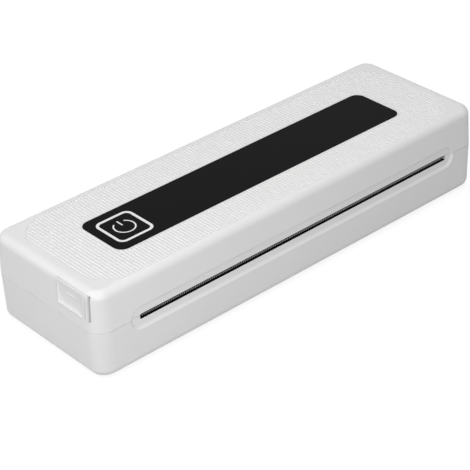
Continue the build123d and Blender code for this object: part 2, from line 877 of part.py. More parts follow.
def make_heat_sink():
    body = block(-head_half, head_half, head_y0, head_y1, sink_bottom, sink_top)
    body = chamfer(body.edges().filter_by(Axis.X), heat_sink_chamfer)
    return body - head_pivot_holes()


def make_head_ceramic():
    y0 = head_y0 + ceramic_front_inset
    reach = head_half - ceramic_end_inset
    strip = block(-reach, reach, y0, y0 + ceramic_depth, sink_top, ceramic_top)
    half = platen_length / 2
    glaze_z = ceramic_top + glaze_proud - glaze_radius
    glaze = rod_x(glaze_radius, -half, half, platen_y, glaze_z)
    glaze &= block(-half, half, head_y0, head_y1, sink_top, ceramic_top + glaze_proud)
    return strip + glaze


def make_driver_cover():
    y1 = head_y1 - part_gap
    half = head_half - driver_cover_end_inset
    body = block(-half, half, y1 - driver_cover_depth, y1, sink_top, sink_top + driver_cover_height)
    return chamfer(body.edges().filter_by(Axis.X).group_by(Axis.Z)[-1], driver_cover_chamfer)


# Coil spring along +Z, cut flat at both ends
def coil_spring(radius, wire, turns, height):
    pitch = (height - wire) / turns
    path = Helix(pitch=pitch, height=height - wire, radius=radius)
    section = Plane(origin=path @ 0, z_dir=path % 0) * Circle(wire / 2)
    return sweep(section, path=path)


def make_head_springs():
    y = head_y0 + head_spring_from_front
    height = sink_bottom - frame_top - 2 * slip
    springs = []
    spacing = 2 * (head_half - head_spring_from_end) / (head_spring_count - 1)
    for index in range(head_spring_count):
        x = (index - (head_spring_count - 1) / 2) * spacing
        spring = coil_spring(head_spring_radius, head_spring_wire, head_spring_turns, height)
        springs.append(Pos(x, y, frame_top + slip + head_spring_wire / 2) * spring)
    return Compound(springs)


# Battery pack and boards on the base's floor
battery_x1 = -battery_from_middle
battery_x0 = battery_x1 - battery_length
battery_y0 = frame_post_y + post_radius + battery_behind_post
battery_top = frame_bottom - battery_below_frame


def make_battery_pack():
    body = block(
        battery_x0, battery_x1, battery_y0, battery_y0 + battery_width,
        floor_z, battery_top)
    return fillet(body.edges().filter_by(Axis.X), battery_edge_radius)


def board(x0, x1, y0, y1, holes):
    body = block(x0, x1, y0, y1, main_board_z, main_board_z + board_thickness)
    for x, y in holes:
        body -= screw_hole(x, y, main_board_z + board_thickness, True, small_screw_length, small=True)
    return body


def make_main_board():
    return board(board_left, board_x1, main_board_y0, main_board_y0 + board_width, board_standoffs)


def make_charge_board():
    return board(charge_x0, charge_x1, charge_y0, charge_y0 + charge_board_width, charge_standoffs)


def make_board_chips():
    z0 = main_board_z + board_thickness
    middle = main_board_y0 + board_width / 2
    chips = []
    for index, height in enumerate(chip_heights):
        x = board_left + board_length * (chip_start + chip_step * index)
        half = (chip_side - chip_shrink * index) / 2
        chips.append(block(x - half, x + half, middle - half, middle + half, z0, z0 + height))
    return Compound(chips)


def make_board_screws():
    places = board_standoffs + charge_standoffs
    return Compound([screw(x, y, main_board_z + board_thickness, True, small=True) for x, y in places])


# Charging socket: a steel shell with a tongue, open towards the right end
def make_charge_socket():
    x1 = half_length - base_draft * (seam_z - socket_z) - socket_inset
    plane = Plane(origin=(x1 - socket_depth, charge_y, socket_z), x_dir=(0, 1, 0), z_dir=(1, 0, 0))
    shell = extrude(plane * SlotOverall(socket_width, socket_height), amount=socket_depth)
    inside = SlotOverall(socket_width - 2 * socket_sheet, socket_height - 2 * socket_sheet)
    shell -= extrude(plane.offset(socket_back) * inside, amount=socket_depth)
    tongue_face = Rectangle(socket_tongue_width, socket_tongue_thickness)
    tongue = extrude(plane * tongue_face, amount=socket_depth - socket_tongue_inset)
    return shell + tongue


# Flat cable from the head down to the main board
ribbon_width = 24.0
ribbon_thickness = 0.3
ribbon_bend = 0.9
ribbon_out = 2.2
ribbon_above_board = 1.6
ribbon_below_pivot = 1.0
ribbon_socket_margin = 1.5
ribbon_socket_depth = 4.0
ribbon_socket_height = 2.6
ribbon_end_y = main_board_y0 + board_width - 3.0


def make_head_ribbon():
    x = board_left + board_length / 2
    y0 = head_y1 + 2 * part_gap
    z1 = main_board_z + board_thickness + ribbon_above_board
    upper = pivot_z - ribbon_below_pivot
    y_out = ribbon_end_y + ribbon_out
    plane = Plane(origin=(x - ribbon_width / 2, 0, 0), x_dir=(0, 1, 0), z_dir=(1, 0, 0))
    line = FilletPolyline((y0, upper), (y_out, upper), (y_out, z1), (ribbon_end_y, z1), radius=ribbon_bend)
    return extrude(plane * trace(line, ribbon_thickness), amount=ribbon_width)


def make_ribbon_socket():
    x = board_left + board_length / 2
    half = ribbon_width / 2 + ribbon_socket_margin
    z0 = main_board_z + board_thickness
    y0 = ribbon_end_y - ribbon_socket_depth
    return block(x - half, x + half, y0, ribbon_end_y, z0, z0 + ribbon_socket_height)


# Two-wire lead from the battery to the main board
lead_radius = 0.8
lead_spacing = 1.92
lead_bend = 2.0
lead_onto_board = 3.0
lead_above_board = 0.3


def make_battery_lead():
    x0 = battery_x1
    y = battery_y0 + battery_width / 2
    z0 = (floor_z + battery_top) / 2
    z1 = main_board_z + board_thickness + lead_radius + lead_above_board
    gap = board_left - x0
    x_heights = [(x0, z0), (x0 + gap * 0.45, z0), (x0 + gap * 0.75, z1), (board_left + lead_onto_board, z1)]
    leads = []
    for lead_y in (y, y + lead_spacing):
        points = [(x, lead_y, z) for x, z in x_heights]
        path = FilletPolyline(*points, radius=lead_bend)
        section = Plane(origin=path @ 0, z_dir=path % 0) * Circle(lead_radius)
        leads.append(sweep(section, path=path))
    return Compound(leads)


# Cover shell
key_x = panel_shift - panel_length / 2 + key_from_panel_end
window_y0 = front_y + window_front
window_y1 = window_y0 + window_length
window_z0 = seam_z + window_bottom
window_z1 = top_z - window_top_wall
liner_top = platen_z + platen_radius + liner_above_platen
liner_bottom = liner_top - tray_wall
liner_post_x = half_length - liner_post_from_end
liner_posts = [
    (x, y)
    for x in (-liner_post_x, 0, liner_post_x)
    for y in (front_y + liner_post_from_front, rear_y - liner_post_from_rear)
]
key_opening_length = key_frame_length - 2 * key_frame_line
key_opening_width = key_frame_width - 2 * key_frame_line
cap_length = key_opening_length - 2 * key_clearance
cap_width = key_opening_width - 2 * key_clearance
cap_radius = key_frame_radius - key_frame_line - key_clearance
panel_top = top_z + panel_proud
panel_bottom = panel_top - panel_thickness
cap_bottom = panel_top - key_cap_height
flange_top = ceiling_z - part_gap
flange_bottom = flange_top - key_flange_thickness
key_board_top = flange_bottom - key_travel - switch_height - part_gap
key_board_bottom = key_board_top - key_board_thickness
key_post_x = key_board_length / 2 - key_post_inset
key_post_y = key_board_width / 2 - key_post_inset
key_posts = [
    (key_x + x, feature_y + y)
    for x in (-key_post_x, key_post_x)
    for y in (-key_post_y, key_post_y)
]


# Grooves between the ribs, kept inside the rounded field and clear of the panel
def rib_grooves():
    count = int(rib_field_length / rib_pitch)
    cutters = []
    half_top = rib_groove_width / 2
    half_floor = rib_groove_floor / 2
    floor = top_z - rib_groove_depth
    slope = (half_top - half_floor) / rib_groove_depth
    lift = part_gap
    for index in range(count):
        x = (index - (count - 1) / 2) * rib_pitch
        outline = [
            (x - half_floor, floor), (x + half_floor, floor),
            (x + half_top + slope * lift, top_z + lift), (x - half_top - slope * lift, top_z + lift)]
        plane = Plane(origin=(0, rear_y, 0), x_dir=(1, 0, 0), z_dir=(0, -1, 0))
        cutters.append(extrude(plane * make_face(Polyline(*outline, close=True)), amount=case_width))
    field = rounded_plate(
        rib_field_length, rib_field_width, rib_field_radius,
        0, case_y + rib_field_shift, floor - 1, top_z + 1)
    margin = 2 * rib_border
    field -= rounded_plate(
        panel_length + margin, panel_width + margin, panel_radius + rib_border,
        panel_shift, feature_y, floor - 2, top_z + 2)
    return field.intersect(Compound(cutters))


def make_cover_shell():
    body = cover_outside()
    body -= case_block(wall, 0, ceiling_z, top_edge_radius - wall)
    body += block(
        lip_x0, lip_x1, front_y + wall / 2, front_y + lip_backing,
        seam_z + seam_gap / 2, seam_z + lip_height) & case_block(wall / 2, seam_gap / 2, ceiling_z, 1.0)
    body += [knuckle(x0, x1, 1) for x0, x1 in cover_knuckle_spans()]
    for x, y in liner_posts:
        body += rod_z(post_radius, x, y, liner_top, ceiling_z + top_wall / 2)
    for x, y in key_posts:
        body += rod_z(key_post_radius, x, y, key_board_top, ceiling_z + top_wall / 2)
    body -= recess_cutter()
    body -= slot_cutter()
    body -= tear_bar_room()
    body -= rear_relief() - joined(knuckle(x0, x1, 1) for x0, x1 in cover_knuckle_spans())
    for x0, x1 in base_knuckle_spans():
        body -= knuckle_room(x0, x1)
    body -= hinge_bore()
    seat_length = panel_length + 2 * panel_clearance
    seat_width = panel_width + 2 * panel_clearance
    seat_radius = panel_radius + panel_clearance
    body -= rounded_plate(
        seat_length, seat_width, seat_radius, panel_shift, feature_y, panel_bottom, top_z + 1)
    body -= rounded_plate(
        key_opening_length, key_opening_width, key_frame_radius - key_frame_line,
        key_x, feature_y, ceiling_z - 1, top_z + 1)
    body -= block(-half_length - 1, slider_back_x + part_gap, window_y0, window_y1, window_z0, window_z1)
    for x, y in liner_posts:
        body -= screw_hole(x, y, liner_bottom, False, screw_length)
    for x, y in key_posts:
        body -= screw_hole(x, y, key_board_bottom, False, small_screw_length, small=True)
    return body - rib_grooves()


# Tear bar: a steel strip in a groove of the lip, its lower edge cut into fine teeth
tear_y0 = front_y + recess_depth + lip_thickness
tear_y1 = tear_y0 + tear_bar_thickness
tear_z0 = seam_z + slot_above_seam - tear_bar_drop
tear_z1 = tear_z0 + tear_bar_height


def tear_bar_room():
    half = slot_length / 2 + slip
    return block(
        slot_shift - half, slot_shift + half, tear_y0 - slip, tear_y1 + slip, seam_z, tear_z1 + slip)


def make_tear_bar():
    half = slot_length / 2 - slot_end_radius
    count = int(2 * half / tear_tooth_pitch)
    reach = count * tear_tooth_pitch / 2
    points = [(reach, tear_z1), (-reach, tear_z1), (-reach, tear_z0 + tear_tooth_depth)]
    for index in range(count):
        middle = -reach + (index + 0.5) * tear_tooth_pitch
        points.append((middle, tear_z0))
        points.append((middle + tear_tooth_pitch / 2, tear_z0 + tear_tooth_depth))
    plane = Plane(origin=(slot_shift, tear_y1, 0), x_dir=(1, 0, 0), z_dir=(0, -1, 0))
    return extrude(plane * make_face(Polyline(*points, close=True)), amount=tear_bar_thickness)


# Dark guide over the slot's lower lip, hooked behind it
def make_paper_guide():
    low = guide_top - guide_thickness
    leg_y0 = front_y + lip_backing + slip
    leg_y1 = leg_y0 + guide_thickness
    rear = front_y + guide_reach
    outline = [
        (guide_y0, guide_top), (rear, guide_top), (rear, low), (leg_y1, low),
        (leg_y1, low - guide_leg), (leg_y0, low - guide_leg), (leg_y0, low), (guide_y0, low)]
    return yz_profile(outline, guide_x0, guide_x1)


# Black panel with a seat for the key's frame
def make_top_panel():
    body = rounded_plate(
        panel_length, panel_width, panel_radius, panel_shift, feature_y, panel_bottom, panel_top)
    return body - rounded_plate(
        key_frame_length + 2 * slip, key_frame_width + 2 * slip, key_frame_radius + slip,
        key_x, feature_y, panel_bottom - 1, panel_top + 1)


def make_key_frame():
    body = rounded_plate(
        key_frame_length, key_frame_width, key_frame_radius, key_x, feature_y, panel_bottom, panel_top)
    return body - rounded_plate(
        key_opening_length, key_opening_width, key_frame_radius - key_frame_line,
        key_x, feature_y, panel_bottom - 1, panel_top + 1)


# Power symbol: a ring open at the rear with a bar in the opening
def symbol_face():
    ring = Circle(symbol_radius + symbol_line / 2) - Circle(symbol_radius - symbol_line / 2)
    reach = 2 * symbol_radius
    half = math.radians(symbol_opening / 2)
    out_x = reach * math.sin(half)
    out_y = reach * math.cos(half)
    wedge = make_face(Polyline((0, 0), (-out_x, out_y), (out_x, out_y), close=True))
    bar = Pos(0, symbol_radius + symbol_line / 2 - symbol_bar_length / 2 + symbol_line / 2) * Rectangle(
        symbol_line, symbol_bar_length)
    return (ring - wedge) + bar


def make_power_symbol():
    plane = Plane(origin=(key_x, feature_y, panel_top - symbol_inlay))
    return extrude(plane * symbol_face(), amount=symbol_inlay)


def make_power_key():
    cap = rounded_plate(cap_length, cap_width, cap_radius, key_x, feature_y, cap_bottom, panel_top)
    neck = rounded_plate(
        cap_length, cap_width, cap_radius, key_x, feature_y, flange_top, cap_bottom)
    flange_length = cap_length + 2 * key_flange_margin
    flange_width = cap_width + 2 * key_flange_margin
    flange = rounded_plate(
        flange_length, flange_width, cap_radius + key_flange_margin,
        key_x, feature_y, flange_bottom, flange_top)
    stem = rod_z(key_stem_radius, key_x, feature_y, flange_bottom - key_travel / 2, flange_bottom)
    return cap + neck + flange + stem - make_power_symbol()


# Key board under the cover's top, with the switch and its plunger
def make_key_board():
    body = rounded_plate(
        key_board_length, key_board_width, 1.5, key_x, feature_y, key_board_bottom, key_board_top)
    for x, y in key_posts:
        body -= screw_hole(x, y, key_board_bottom, False, small_screw_length, small=True)
    return body


def make_key_switch():
    half = switch_size / 2
    body = block(
        key_x - half, key_x + half, feature_y - half, feature_y + half,
        key_board_top, key_board_top + switch_height)
    top = key_board_top + switch_height
    bore_floor = top - plunger_reach - key_travel - slip
    return body - rod_z(plunger_radius + slip, key_x, feature_y, bore_floor, top + 1)


def make_switch_plunger():
    top = key_board_top + switch_height
    return rod_z(plunger_radius, key_x, feature_y, top - plunger_reach, flange_bottom - key_travel / 2)


def make_key_board_screws():
    return Compound([screw(x, y, key_board_bottom, False, small=True) for x, y in key_posts])


# Liner under the cover's hollow, with the platen's two brackets and slots for the hooks
def make_cover_liner():
    inset = wall + cover_draft * (liner_top - seam_z) + part_gap
    body = rounded_plate(
        case_length - 2 * inset, case_width - 2 * inset, corner_radius - inset,
        0, case_y, liner_bottom, liner_top)
    reach = bearing_radius + bracket_margin
    bracket_z0 = platen_z - bearing_radius - bracket_below_bearing
    for side in (-1, 1):
        x0, x1 = sorted((side * bracket_x0, side * bracket_x1))
        body += block(x0, x1, platen_y - reach, platen_y + reach, bracket_z0, liner_bottom)
        body -= rod_x(bearing_radius + slip, x0 - 1, x1 + 1, *platen_centre)
        x0, x1 = sorted((side * (hook_x - hook_thickness), side * (hook_x + hook_thickness)))
        body -= block(
            x0, x1, hook_front - slider_travel - 2 * part_gap,
            hook_front + hook_shank_depth + hook_tooth_reach + 2 * part_gap,
            liner_bottom - 1, liner_top + 1)
    body -= block(
        -half_length, slider_back_x + part_gap, pad_y0 - slider_travel - part_gap,
        slider_flange_y1 + part_gap, liner_bottom - 1, liner_top + 1)
    for x, y in liner_posts:
        body -= screw_hole(x, y, liner_bottom, False, screw_length)
    return body


def make_liner_screws():
    return Compound([screw(x, y, liner_bottom, False) for x, y in liner_posts])


# Release slider: a pad level with the end wall's outside, with a thumb pocket and a flange behind the wall
pad_y0 = window_y0 + slider_travel + slider_clearance
pad_y1 = window_y1 - slider_clearance
pad_z0 = window_z0 + slider_clearance
pad_z1 = window_z1 - slider_clearance
slider_wall_x = -half_length + wall + cover_draft * (window_z1 - seam_z)
slider_back_x = slider_wall_x + part_gap + slider_flange_thickness
slider_flange_y0 = front_y + corner_radius + slider_travel
slider_flange_y1 = window_y1 + slider_flange_overlap
slider_flange_z0 = window_z0 - slider_flange_overlap
slider_flange_z1 = ceiling_z - part_gap - (top_edge_radius - wall)


def make_release_slider():
    pad = block(-half_length - 1, slider_back_x, pad_y0, pad_y1, pad_z0, pad_z1) & cover_outside()
    flange = block(
        slider_back_x - slider_flange_thickness, slider_back_x,
        slider_flange_y0, slider_flange_y1, slider_flange_z0, slider_flange_z1)
    body = pad + flange
    pocket_y0 = pad_y0 + thumb_pocket_front
    pocket_y1 = pad_y1 - thumb_pocket_rear
    pocket_z0 = pad_z0 + thumb_pocket_bottom
    pocket_z1 = pad_z1 - thumb_pocket_top
    bead_z = seam_z + grip_bead_above_seam
    outside = -half_length - wall

    def below_face(z, depth):
        return (-half_length + cover_draft * (z - seam_z) + depth, z)

    top = below_face(pocket_z1, thumb_pocket_top_depth)
    bead = below_face(bead_z, thumb_pocket_bead_depth)
    low = below_face(pocket_z0 + thumb_ledge_rise, thumb_pocket_low_depth)
    slope = thumb_ledge_rise / thumb_pocket_low_depth
    edge = Polyline(low, (outside, low[1] - slope * (low[0] - outside)), (outside, pocket_z1), top)
    plane = Plane(origin=(0, pocket_y1, 0), x_dir=(1, 0, 0), z_dir=(0, -1, 0))
    pocket = make_face(edge + ThreePointArc(top, bead, low))
    body -= extrude(plane * pocket, amount=pocket_y1 - pocket_y0)
    bead_y0 = (pocket_y0 + pocket_y1 - grip_bead_length) / 2
    body += rod_y(grip_bead_radius, bead[0], bead_y0, bead_y0 + grip_bead_length, bead_z)
    groove_y = pad_y0 + thumb_groove_inset
    groove_x = below_face((pocket_z0 + pocket_z1) / 2, thumb_groove_depth)[0]
    return body - block(
        outside, groove_x, groove_y, groove_y + thumb_groove_width, pocket_z0, pocket_z1)


# Latch bar on the slider, running the length of the cover, with a hook at each end
bar_z0 = liner_top + part_gap
bar_z1 = bar_z0 + latch_bar_height
bar_y0 = hook_front
bar_y1 = bar_y0 + latch_bar_width
bar_x0 = slider_back_x
bar_x1 = hook_x + hook_thickness


def make_latch_bar():
    return block(bar_x0, bar_x1, bar_y0, bar_y1, bar_z0, bar_z1)


def make_latch_hooks():
    tooth_top = striker_z - striker_radius - striker_gap
    half = hook_thickness / 2
    tooth_low = tooth_top - hook_tooth_height
    shank = block(
        hook_x - half, hook_x + half, hook_front, hook_front + hook_shank_depth, tooth_low, bar_z0)
    tooth_y1 = hook_front + hook_shank_depth + hook_tooth_reach
    outline = [
        (hook_front, tooth_low), (tooth_y1 - hook_tooth_height / 2, tooth_low),
        (tooth_y1, tooth_top), (hook_front, tooth_top)]
    tooth = yz_profile(outline, hook_x - half, hook_x + half)
    hook = shank + tooth
    return Compound([hook, mirrored(hook)])


nodes = {
    "base_housing": make_base_housing,
    "rubber_feet": make_rubber_feet,
    "bin_tray": make_bin_tray,
    "tray_screws": make_tray_screws,
    "paper_sensor": make_paper_sensor,
    "print_frame": make_print_frame,
    "frame_screws": make_frame_screws,
    "striker_pins": make_striker_pins,
    "head_pivot_pins": make_head_pivot_pins,
    "gear_studs": make_gear_studs,
    "drive_motor": make_drive_motor,
    "motor_screws": make_motor_screws,
    "motor_pinion": make_motor_pinion,
    "motor_shaft": make_motor_shaft,
    "reduction_gear": make_reduction_gear,
    "idler_gear": make_idler_gear,
    "platen_sleeve": make_platen_sleeve,
    "platen_shaft": make_platen_shaft,
    "platen_gear": make_platen_gear,
    "platen_bearings": make_platen_bearings,
    "heat_sink": make_heat_sink,
    "head_ceramic": make_head_ceramic,
    "driver_cover": make_driver_cover,
    "head_springs": make_head_springs,
    "battery_pack": make_battery_pack,
    "battery_lead": make_battery_lead,
    "main_board": make_main_board,
    "board_chips": make_board_chips,
    "ribbon_socket": make_ribbon_socket,
    "head_ribbon": make_head_ribbon,
    "charge_board": make_charge_board,
    "charge_socket": make_charge_socket,
    "board_screws": make_board_screws,
    "hinge_pins": make_hinge_pins,
    "cover_shell": make_cover_shell,
    "top_panel": make_top_panel,
    "key_frame": make_key_frame,
    "power_key": make_power_key,
    "power_symbol": make_power_symbol,
    "key_board": make_key_board,
    "key_board_screws": make_key_board_screws,
    "key_switch": make_key_switch,
    "switch_plunger": make_switch_plunger,
    "cover_liner": make_cover_liner,
    "liner_screws": make_liner_screws,
    "tear_bar": make_tear_bar,
    "paper_guide": make_paper_guide,
    "release_slider": make_release_slider,
    "latch_bar": make_latch_bar,
    "latch_hooks": make_latch_hooks,
}

os.makedirs("parts", exist_ok=True)
for name, make in nodes.items():
    shape = make()
    export_step(shape, f"parts/{name}.step")
    print(name, round(sum(solid.volume for solid in shape.solids()), 1))
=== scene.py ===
import bmesh
import bpy
import math
from mathutils import Euler, Matrix, Vector


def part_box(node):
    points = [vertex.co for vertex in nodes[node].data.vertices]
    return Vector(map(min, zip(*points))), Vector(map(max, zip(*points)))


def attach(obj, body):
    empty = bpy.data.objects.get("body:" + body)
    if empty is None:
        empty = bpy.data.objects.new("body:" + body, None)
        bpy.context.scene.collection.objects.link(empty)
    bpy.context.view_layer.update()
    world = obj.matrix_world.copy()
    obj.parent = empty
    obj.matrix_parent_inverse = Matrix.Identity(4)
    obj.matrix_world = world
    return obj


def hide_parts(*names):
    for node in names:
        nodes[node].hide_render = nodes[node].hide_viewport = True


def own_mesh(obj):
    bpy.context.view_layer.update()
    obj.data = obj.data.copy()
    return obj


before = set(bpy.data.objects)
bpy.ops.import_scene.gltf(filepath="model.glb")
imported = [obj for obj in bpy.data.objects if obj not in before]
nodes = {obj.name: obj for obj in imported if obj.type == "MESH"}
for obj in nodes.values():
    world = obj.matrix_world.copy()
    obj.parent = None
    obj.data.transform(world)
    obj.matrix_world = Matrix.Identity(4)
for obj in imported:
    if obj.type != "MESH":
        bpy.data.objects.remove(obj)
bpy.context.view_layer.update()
scene = bpy.context.scene
scene.view_settings.view_transform = "Standard"
mm = 0.001
mergeDistance = 1e-6  # metres


# low and high corner of a CAD node, in mm
def nodeBox(name):
    return [[value / mm for value in corner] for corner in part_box(name)]


print("stage: materials")


def toLinear(hexColour):
    values = [int(hexColour[i:i + 2], 16) / 255 for i in (1, 3, 5)]
    return [v / 12.92 if v <= 0.04045 else ((v + 0.055) / 1.055) ** 2.4 for v in values] + [1.0]


# adds a node, sets its inputs or attributes, and links {input: (node, output)}
def addNode(tree, kind, settings=None, links=None):
    node = tree.nodes.new(kind)
    for key, value in (settings or {}).items():
        if isinstance(key, int) or key in node.inputs:
            node.inputs[key].default_value = value
        else:
            setattr(node, key, value)
    for key, (source, output) in (links or {}).items():
        tree.links.new(source.outputs[output], node.inputs[key])
    return node


# a Mix node has the sockets A and B once for each kind of data: these two are the colours
mixFirst = 6
mixSecond = 7
noiseDetail = {"patches": 3.0, "grain": 2.0}
bevelSamples = 4


# a surface with a mottled colour, an uneven gloss and a fine grain in its relief
def makeSurface(name, finish):
    material = bpy.data.materials.new(name)
    material.use_nodes = True
    tree = material.node_tree
    tree.nodes.clear()
    place = addNode(tree, "ShaderNodeTexCoord")
    stretch = addNode(
        tree, "ShaderNodeMapping", {"Scale": finish.get("stretch", (1, 1, 1))}, {"Vector": (place, "Object")})
    patches = addNode(
        tree, "ShaderNodeTexNoise",
        {"Scale": 1 / (finish["patchMm"] * mm), "Detail": noiseDetail["patches"]},
        {"Vector": (stretch, "Vector")})
    colour = addNode(tree, "ShaderNodeMix", {"data_type": "RGBA"}, {"Factor": (patches, "Fac")})
    colour.inputs[mixFirst].default_value = toLinear(finish["colour"])
    colour.inputs[mixSecond].default_value = toLinear(finish["shade"])
    gloss = addNode(
        tree, "ShaderNodeMapRange",
        {"To Min": finish["roughness"][0], "To Max": finish["roughness"][1]}, {"Value": (patches, "Fac")})
    grain = addNode(
        tree, "ShaderNodeTexNoise",
        {"Scale": 1 / (finish["grainMm"] * mm), "Detail": noiseDetail["grain"]},
        {"Vector": (stretch, "Vector")})
    relief = addNode(
        tree, "ShaderNodeBump",
        {"Strength": finish["grainStrength"], "Distance": finish["grainHeightMm"] * mm},
        {"Height": (grain, "Fac")})
    shader = addNode(
        tree, "ShaderNodeBsdfPrincipled", finish.get("shader", {}),
        {"Base Color": (colour, "Result"), "Roughness": (gloss, "Result"), "Normal": (relief, "Normal")})
    if "edgeMm" in finish:
        rounded = addNode(tree, "ShaderNodeBevel", {"samples": bevelSamples, "Radius": finish["edgeMm"] * mm})
        tree.links.new(rounded.outputs["Normal"], relief.inputs["Normal"])
    addNode(tree, "ShaderNodeOutputMaterial", None, {"Surface": (shader, "BSDF")})
    return material


def dress(names, material):
    for name in names:
        nodes[name].data.materials.clear()
        nodes[name].data.materials.append(material)


# moulded ABS from a spark-eroded tool: soft sheen, a grain finer than the eye resolves
caseAbs = makeSurface("mouldedAbsWhite", {
    "colour": "#efefef", "shade": "#ececec", "patchMm": 30, "roughness": (0.42, 0.5),
    "grainMm": 0.35, "grainHeightMm": 0.006, "grainStrength": 0.35, "edgeMm": 0.25,
    "shader": {"IOR": 1.52, "Specular IOR Level": 0.4}})
dress(["cover_shell", "base_housing", "release_slider"], caseAbs)

# smoked acrylic panel: near black, polished, with a faint haze
panelAcrylic = makeSurface("polishedAcrylicBlack", {
    "colour": "#121213", "shade": "#141415", "patchMm": 18, "roughness": (0.26, 0.34),
    "grainMm": 0.5, "grainHeightMm": 0.002, "grainStrength": 0.2, "edgeMm": 0.2,
    "shader": {"IOR": 1.49, "Specular IOR Level": 0.02}})
dress(["top_panel", "power_key"], panelAcrylic)

# white acrylic light guide: smooth and slightly brighter than the case
guideAcrylic = makeSurface("lightGuideAcrylicWhite", {
    "colour": "#f4f4f4", "shade": "#efefef", "patchMm": 9, "roughness": (0.25, 0.35),
    "grainMm": 0.4, "grainHeightMm": 0.002, "grainStrength": 0.2,
    "shader": {"IOR": 1.49}})
dress(["key_frame", "power_symbol"], guideAcrylic)

# inner ABS parts: same resin, plainer tool finish
linerAbs = makeSurface("mouldedAbsLiner", {
    "colour": "#dcdcda", "shade": "#d2d2d0", "patchMm": 22, "roughness": (0.48, 0.6),
    "grainMm": 0.4, "grainHeightMm": 0.01, "grainStrength": 0.4, "edgeMm": 0.25,
    "shader": {"IOR": 1.52}})
dress(["cover_liner"], linerAbs)

# the tray is the same resin in grey
trayAbs = makeSurface("mouldedAbsTrayGrey", {
    "colour": "#a9abad", "shade": "#9c9fa2", "patchMm": 22, "roughness": (0.45, 0.58),
    "grainMm": 0.4, "grainHeightMm": 0.01, "grainStrength": 0.4, "edgeMm": 0.3,
    "shader": {"IOR": 1.52}})
dress(["bin_tray"], trayAbs)

# moulded acetal gears: waxy, off-white
gearAcetal = makeSurface("mouldedAcetal", {
    "colour": "#e6e2d2", "shade": "#d8d3c0", "patchMm": 5, "roughness": (0.32, 0.44),
    "grainMm": 0.3, "grainHeightMm": 0.006, "grainStrength": 0.3,
    "shader": {"IOR": 1.48}})
dress(["reduction_gear", "idler_gear", "platen_gear"], gearAcetal)

# ground silicone rubber: dull, with fine grinding marks round the roller
groundRubber = makeSurface("groundSiliconeRubber", {
    "colour": "#2c2c2e", "shade": "#242426", "patchMm": 12, "roughness": (0.62, 0.8),
    "grainMm": 0.25, "grainHeightMm": 0.012, "grainStrength": 0.6, "stretch": (3, 1, 1),
    "shader": {"IOR": 1.42}})
dress(["platen_sleeve"], groundRubber)

# moulded rubber feet: dull and slightly rough
footRubber = makeSurface("mouldedFootRubber", {
    "colour": "#1c1c1c", "shade": "#262626", "patchMm": 4, "roughness": (0.7, 0.85),
    "grainMm": 0.3, "grainHeightMm": 0.02, "grainStrength": 0.6, "shader": {"IOR": 1.5}})
dress(["rubber_feet"], footRubber)

# turned steel: fine rings from the lathe round the long shafts and pins
turnedSteel = makeSurface("turnedSteel", {
    "colour": "#b4b4b6", "shade": "#9a9a9d", "patchMm": 3, "roughness": (0.22, 0.34),
    "grainMm": 0.2, "grainHeightMm": 0.006, "grainStrength": 0.4, "stretch": (4, 1, 1),
    "shader": {"Metallic": 1.0}})
dress([
    "platen_shaft", "motor_shaft", "hinge_pins", "striker_pins", "head_pivot_pins", "gear_studs",
    "head_springs", "frame_screws", "tray_screws", "board_screws", "motor_screws", "liner_screws",
    "key_board_screws"], turnedSteel)

# zinc-plated sheet steel: pale, cloudy spangle
platedSteel = makeSurface("zincPlatedSheet", {
    "colour": "#c2c4c6", "shade": "#a6a9ac", "patchMm": 6, "roughness": (0.3, 0.5),
    "grainMm": 0.8, "grainHeightMm": 0.006, "grainStrength": 0.35,
    "shader": {"Metallic": 1.0}})
dress(["print_frame", "drive_motor", "latch_bar", "latch_hooks", "charge_socket"], platedSteel)

# stamped steel strip of the tear bar, brushed along its length; its near-black colour is painted shade from
# the cover's lip
tearStripPaintedShade = makeSurface("tearStripSteelPaintedShade", {
    "colour": "#0c0d0e", "shade": "#090a0a", "patchMm": 4, "roughness": (0.45, 0.58),
    "grainMm": 0.2, "grainHeightMm": 0.005, "grainStrength": 0.5, "stretch": (0.08, 1, 1),
    "shader": {"Metallic": 1.0}})
dress(["tear_bar"], tearStripPaintedShade)

# teeth of the tear bar: steel lighter than the strip above them, a painted highlight that lifts them out of
# the shaded slot, with a fine grain of scratches
toothPaintedHighlight = makeSurface("toothSteelPaintedHighlight", {
    "colour": "#aaabaf", "shade": "#96979b", "patchMm": 0.8, "roughness": (0.5, 0.62),
    "grainMm": 0.08, "grainHeightMm": 0.004, "grainStrength": 0.5, "shader": {"Metallic": 1.0}})

# extruded aluminium heat sink: satin, with die lines along its length
sinkAluminium = makeSurface("extrudedAluminium", {
    "colour": "#d4d5d7", "shade": "#c4c6c9", "patchMm": 5, "roughness": (0.32, 0.45),
    "grainMm": 0.3, "grainHeightMm": 0.008, "grainStrength": 0.5, "stretch": (0.05, 1, 1),
    "shader": {"Metallic": 1.0}})
dress(["heat_sink"], sinkAluminium)

# fired thick-film ceramic of the print head: brown, glassy
headCeramic = makeSurface("glazedHeadCeramic", {
    "colour": "#5a4334", "shade": "#4a3628", "patchMm": 8, "roughness": (0.12, 0.22),
    "grainMm": 0.3, "grainHeightMm": 0.002, "grainStrength": 0.3, "shader": {"IOR": 1.6}})

# the head's own strip, in mm: a dark glaze ridge with the heating line along the middle of the ceramic,
# and gold conductors behind it
headBands = {
    "glazeHalf": 0.9, "lineHalf": 0.18, "goldFrom": 1.6, "goldPitch": 0.5,
    "glaze": "#2e2621", "line": "#8a8078", "gold": "#b8924a"}
wavePeriod = 0.314  # metres between two bands of a wave texture at scale 1


